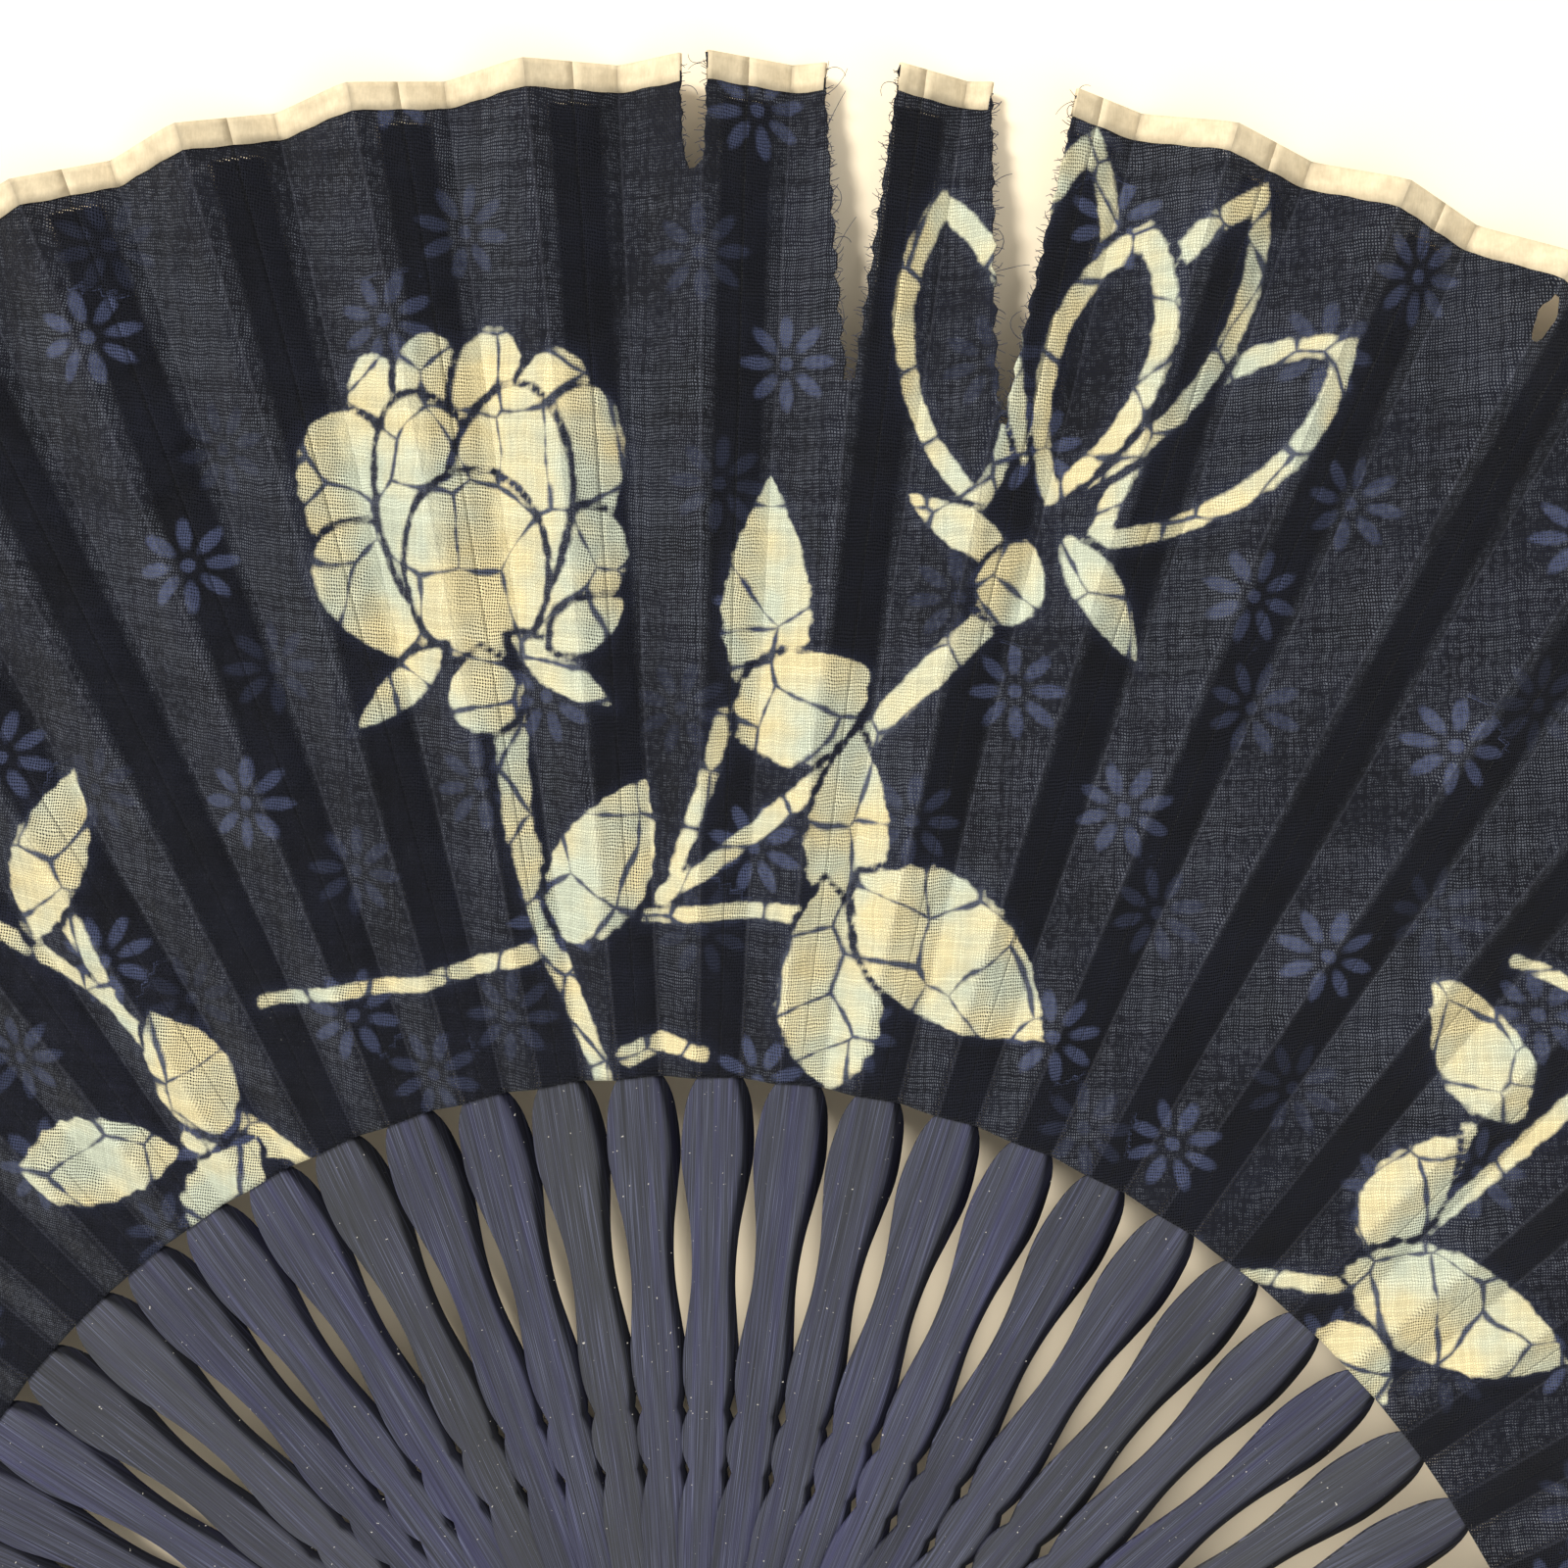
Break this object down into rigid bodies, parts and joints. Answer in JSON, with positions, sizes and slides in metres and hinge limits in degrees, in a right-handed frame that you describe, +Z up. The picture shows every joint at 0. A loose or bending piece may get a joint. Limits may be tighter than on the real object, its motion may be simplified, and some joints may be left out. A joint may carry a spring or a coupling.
{
  "type": "folding hand fan",
  "caption": "Folding hand fan, open: carved bamboo sticks on one rivet, two guards and a pleated cotton leaf with a taped edge.",
  "frame": {"origin": "centre of the rivet's lower face, on the axis that every stick turns about", "axes": "+Z up, +Y from the rivet towards the middle of the open leaf, +X to the front guard's side; the rivet leans 4.3 degrees from +Z, as it does when the open fan lies on a table"},
  "size_m": [0.3816, 0.2064, 0.0254],
  "materials": {
    "stick_bamboo": "indigo-dyed bamboo, satin, with fine lengthwise grain",
    "guard_bamboo": "indigo-dyed bamboo, satin",
    "indigo_cotton": "sheer plain weave, resist-dyed with cream branches and small slate-blue flowers",
    "binding_tape": "matt cream tape folded over the edge",
    "rivet_brass": "dull brass"
  },
  "bodies": {
    "rear_guard_body": {"rear_guard": "guard_bamboo", "rivet_pin": "rivet_brass", "rivet_lower_washer": "rivet_brass", "rivet_upper_washer": "rivet_brass"},
    "stick_01_body": {"stick_01": "stick_bamboo", "leaf_01": "indigo_cotton", "binding_01": "binding_tape"},
    "stick_02_body": {"stick_02": "stick_bamboo"},
    "stick_03_body": {"stick_03": "stick_bamboo", "leaf_02": "indigo_cotton", "binding_02": "binding_tape"},
    "stick_04_body": {"stick_04": "stick_bamboo"},
    "stick_05_body": {"stick_05": "stick_bamboo", "leaf_03": "indigo_cotton", "binding_03": "binding_tape"},
    "stick_06_body": {"stick_06": "stick_bamboo"},
    "stick_07_body": {"stick_07": "stick_bamboo", "leaf_04": "indigo_cotton", "binding_04": "binding_tape"},
    "stick_08_body": {"stick_08": "stick_bamboo"},
    "stick_09_body": {"stick_09": "stick_bamboo", "leaf_05": "indigo_cotton", "binding_05": "binding_tape"},
    "stick_10_body": {"stick_10": "stick_bamboo"},
    "stick_11_body": {"stick_11": "stick_bamboo", "leaf_06": "indigo_cotton", "binding_06": "binding_tape"},
    "stick_12_body": {"stick_12": "stick_bamboo"},
    "stick_13_body": {"stick_13": "stick_bamboo", "leaf_07": "indigo_cotton", "binding_07": "binding_tape"},
    "stick_14_body": {"stick_14": "stick_bamboo"},
    "stick_15_body": {"stick_15": "stick_bamboo", "leaf_08": "indigo_cotton", "binding_08": "binding_tape"},
    "stick_16_body": {"stick_16": "stick_bamboo"},
    "stick_17_body": {"stick_17": "stick_bamboo", "leaf_09": "indigo_cotton", "binding_09": "binding_tape"},
    "stick_18_body": {"stick_18": "stick_bamboo"},
    "stick_19_body": {"stick_19": "stick_bamboo", "leaf_10": "indigo_cotton", "binding_10": "binding_tape"},
    "stick_20_body": {"stick_20": "stick_bamboo"},
    "stick_21_body": {"stick_21": "stick_bamboo", "leaf_11": "indigo_cotton", "binding_11": "binding_tape"},
    "stick_22_body": {"stick_22": "stick_bamboo"},
    "stick_23_body": {"stick_23": "stick_bamboo", "leaf_12": "indigo_cotton", "binding_12": "binding_tape"},
    "stick_24_body": {"stick_24": "stick_bamboo"},
    "stick_25_body": {"stick_25": "stick_bamboo", "leaf_13": "indigo_cotton", "binding_13": "binding_tape"},
    "stick_26_body": {"stick_26": "stick_bamboo"},
    "stick_27_body": {"stick_27": "stick_bamboo", "leaf_14": "indigo_cotton", "binding_14": "binding_tape"},
    "front_guard_body": {"front_guard": "guard_bamboo"}
  },
  "joints": [
    {"name": "fold_01", "type": "hinge", "parent": "rear_guard_body", "child": "stick_01_body", "pos_m": [0, 0, 0], "axis": [0.0341, 0.0662, 0.9972], "range_deg": [0, 5.15], "deforming": ["leaf_01", "binding_01"]},
    {"name": "fold_02", "type": "hinge", "parent": "stick_01_body", "child": "stick_02_body", "pos_m": [0, 0, 0], "axis": [0.0341, 0.0662, 0.9972], "range_deg": [0, 5.15]},
    {"name": "fold_03", "type": "hinge", "parent": "stick_02_body", "child": "stick_03_body", "pos_m": [0, 0, 0], "axis": [0.0341, 0.0662, 0.9972], "range_deg": [0, 5.15], "deforming": ["leaf_02", "binding_02"]},
    {"name": "fold_04", "type": "hinge", "parent": "stick_03_body", "child": "stick_04_body", "pos_m": [0, 0, 0], "axis": [0.0341, 0.0662, 0.9972], "range_deg": [0, 5.15]},
    {"name": "fold_05", "type": "hinge", "parent": "stick_04_body", "child": "stick_05_body", "pos_m": [0, 0, 0], "axis": [0.0341, 0.0662, 0.9972], "range_deg": [0, 5.15], "deforming": ["leaf_03", "binding_03"]},
    {"name": "fold_06", "type": "hinge", "parent": "stick_05_body", "child": "stick_06_body", "pos_m": [0, 0, 0], "axis": [0.0341, 0.0662, 0.9972], "range_deg": [0, 5.15]},
    {"name": "fold_07", "type": "hinge", "parent": "stick_06_body", "child": "stick_07_body", "pos_m": [0, 0, 0], "axis": [0.0341, 0.0662, 0.9972], "range_deg": [0, 5.15], "deforming": ["leaf_04", "binding_04"]},
    {"name": "fold_08", "type": "hinge", "parent": "stick_07_body", "child": "stick_08_body", "pos_m": [0, 0, 0], "axis": [0.0341, 0.0662, 0.9972], "range_deg": [0, 5.15]},
    {"name": "fold_09", "type": "hinge", "parent": "stick_08_body", "child": "stick_09_body", "pos_m": [0, 0, 0], "axis": [0.0341, 0.0662, 0.9972], "range_deg": [0, 5.15], "deforming": ["leaf_05", "binding_05"]},
    {"name": "fold_10", "type": "hinge", "parent": "stick_09_body", "child": "stick_10_body", "pos_m": [0, 0, 0], "axis": [0.0341, 0.0662, 0.9972], "range_deg": [0, 5.15]},
    {"name": "fold_11", "type": "hinge", "parent": "stick_10_body", "child": "stick_11_body", "pos_m": [0, 0, 0], "axis": [0.0341, 0.0662, 0.9972], "range_deg": [0, 5.15], "deforming": ["leaf_06", "binding_06"]},
    {"name": "fold_12", "type": "hinge", "parent": "stick_11_body", "child": "stick_12_body", "pos_m": [0, 0, 0], "axis": [0.0341, 0.0662, 0.9972], "range_deg": [0, 5.15]},
    {"name": "fold_13", "type": "hinge", "parent": "stick_12_body", "child": "stick_13_body", "pos_m": [0, 0, 0], "axis": [0.0341, 0.0662, 0.9972], "range_deg": [0, 5.15], "deforming": ["leaf_07", "binding_07"]},
    {"name": "fold_14", "type": "hinge", "parent": "stick_13_body", "child": "stick_14_body", "pos_m": [0, 0, 0], "axis": [0.0341, 0.0662, 0.9972], "range_deg": [0, 5.15]},
    {"name": "fold_15", "type": "hinge", "parent": "stick_14_body", "child": "stick_15_body", "pos_m": [0, 0, 0], "axis": [0.0341, 0.0662, 0.9972], "range_deg": [0, 5.15], "deforming": ["leaf_08", "binding_08"]},
    {"name": "fold_16", "type": "hinge", "parent": "stick_15_body", "child": "stick_16_body", "pos_m": [0, 0, 0], "axis": [0.0341, 0.0662, 0.9972], "range_deg": [0, 5.15]},
    {"name": "fold_17", "type": "hinge", "parent": "stick_16_body", "child": "stick_17_body", "pos_m": [0, 0, 0], "axis": [0.0341, 0.0662, 0.9972], "range_deg": [0, 5.15], "deforming": ["leaf_09", "binding_09"]},
    {"name": "fold_18", "type": "hinge", "parent": "stick_17_body", "child": "stick_18_body", "pos_m": [0, 0, 0], "axis": [0.0341, 0.0662, 0.9972], "range_deg": [0, 5.15]},
    {"name": "fold_19", "type": "hinge", "parent": "stick_18_body", "child": "stick_19_body", "pos_m": [0, 0, 0], "axis": [0.0341, 0.0662, 0.9972], "range_deg": [0, 5.15], "deforming": ["leaf_10", "binding_10"]},
    {"name": "fold_20", "type": "hinge", "parent": "stick_19_body", "child": "stick_20_body", "pos_m": [0, 0, 0], "axis": [0.0341, 0.0662, 0.9972], "range_deg": [0, 5.15]},
    {"name": "fold_21", "type": "hinge", "parent": "stick_20_body", "child": "stick_21_body", "pos_m": [0, 0, 0], "axis": [0.0341, 0.0662, 0.9972], "range_deg": [0, 5.15], "deforming": ["leaf_11", "binding_11"]},
    {"name": "fold_22", "type": "hinge", "parent": "stick_21_body", "child": "stick_22_body", "pos_m": [0, 0, 0], "axis": [0.0341, 0.0662, 0.9972], "range_deg": [0, 5.15]},
    {"name": "fold_23", "type": "hinge", "parent": "stick_22_body", "child": "stick_23_body", "pos_m": [0, 0, 0], "axis": [0.0341, 0.0662, 0.9972], "range_deg": [0, 5.15], "deforming": ["leaf_12", "binding_12"]},
    {"name": "fold_24", "type": "hinge", "parent": "stick_23_body", "child": "stick_24_body", "pos_m": [0, 0, 0], "axis": [0.0341, 0.0662, 0.9972], "range_deg": [0, 5.15]},
    {"name": "fold_25", "type": "hinge", "parent": "stick_24_body", "child": "stick_25_body", "pos_m": [0, 0, 0], "axis": [0.0341, 0.0662, 0.9972], "range_deg": [0, 5.15], "deforming": ["leaf_13", "binding_13"]},
    {"name": "fold_26", "type": "hinge", "parent": "stick_25_body", "child": "stick_26_body", "pos_m": [0, 0, 0], "axis": [0.0341, 0.0662, 0.9972], "range_deg": [0, 5.15]},
    {"name": "fold_27", "type": "hinge", "parent": "stick_26_body", "child": "stick_27_body", "pos_m": [0, 0, 0], "axis": [0.0341, 0.0662, 0.9972], "range_deg": [0, 5.15], "deforming": ["leaf_14", "binding_14"]},
    {"name": "fold_28", "type": "hinge", "parent": "stick_27_body", "child": "front_guard_body", "pos_m": [0, 0, 0], "axis": [0.0341, 0.0662, 0.9972], "range_deg": [0, 5.15]}
  ],
  "couplings": [
    {"joint": "fold_02", "follows": "fold_01", "ratio": 1},
    {"joint": "fold_03", "follows": "fold_01", "ratio": 1},
    {"joint": "fold_04", "follows": "fold_01", "ratio": 1},
    {"joint": "fold_05", "follows": "fold_01", "ratio": 1},
    {"joint": "fold_06", "follows": "fold_01", "ratio": 1},
    {"joint": "fold_07", "follows": "fold_01", "ratio": 1},
    {"joint": "fold_08", "follows": "fold_01", "ratio": 1},
    {"joint": "fold_09", "follows": "fold_01", "ratio": 1},
    {"joint": "fold_10", "follows": "fold_01", "ratio": 1},
    {"joint": "fold_11", "follows": "fold_01", "ratio": 1},
    {"joint": "fold_12", "follows": "fold_01", "ratio": 1},
    {"joint": "fold_13", "follows": "fold_01", "ratio": 1},
    {"joint": "fold_14", "follows": "fold_01", "ratio": 1},
    {"joint": "fold_15", "follows": "fold_01", "ratio": 1},
    {"joint": "fold_16", "follows": "fold_01", "ratio": 1},
    {"joint": "fold_17", "follows": "fold_01", "ratio": 1},
    {"joint": "fold_18", "follows": "fold_01", "ratio": 1},
    {"joint": "fold_19", "follows": "fold_01", "ratio": 1},
    {"joint": "fold_20", "follows": "fold_01", "ratio": 1},
    {"joint": "fold_21", "follows": "fold_01", "ratio": 1},
    {"joint": "fold_22", "follows": "fold_01", "ratio": 1},
    {"joint": "fold_23", "follows": "fold_01", "ratio": 1},
    {"joint": "fold_24", "follows": "fold_01", "ratio": 1},
    {"joint": "fold_25", "follows": "fold_01", "ratio": 1},
    {"joint": "fold_26", "follows": "fold_01", "ratio": 1},
    {"joint": "fold_27", "follows": "fold_01", "ratio": 1},
    {"joint": "fold_28", "follows": "fold_01", "ratio": 1}
  ]
}
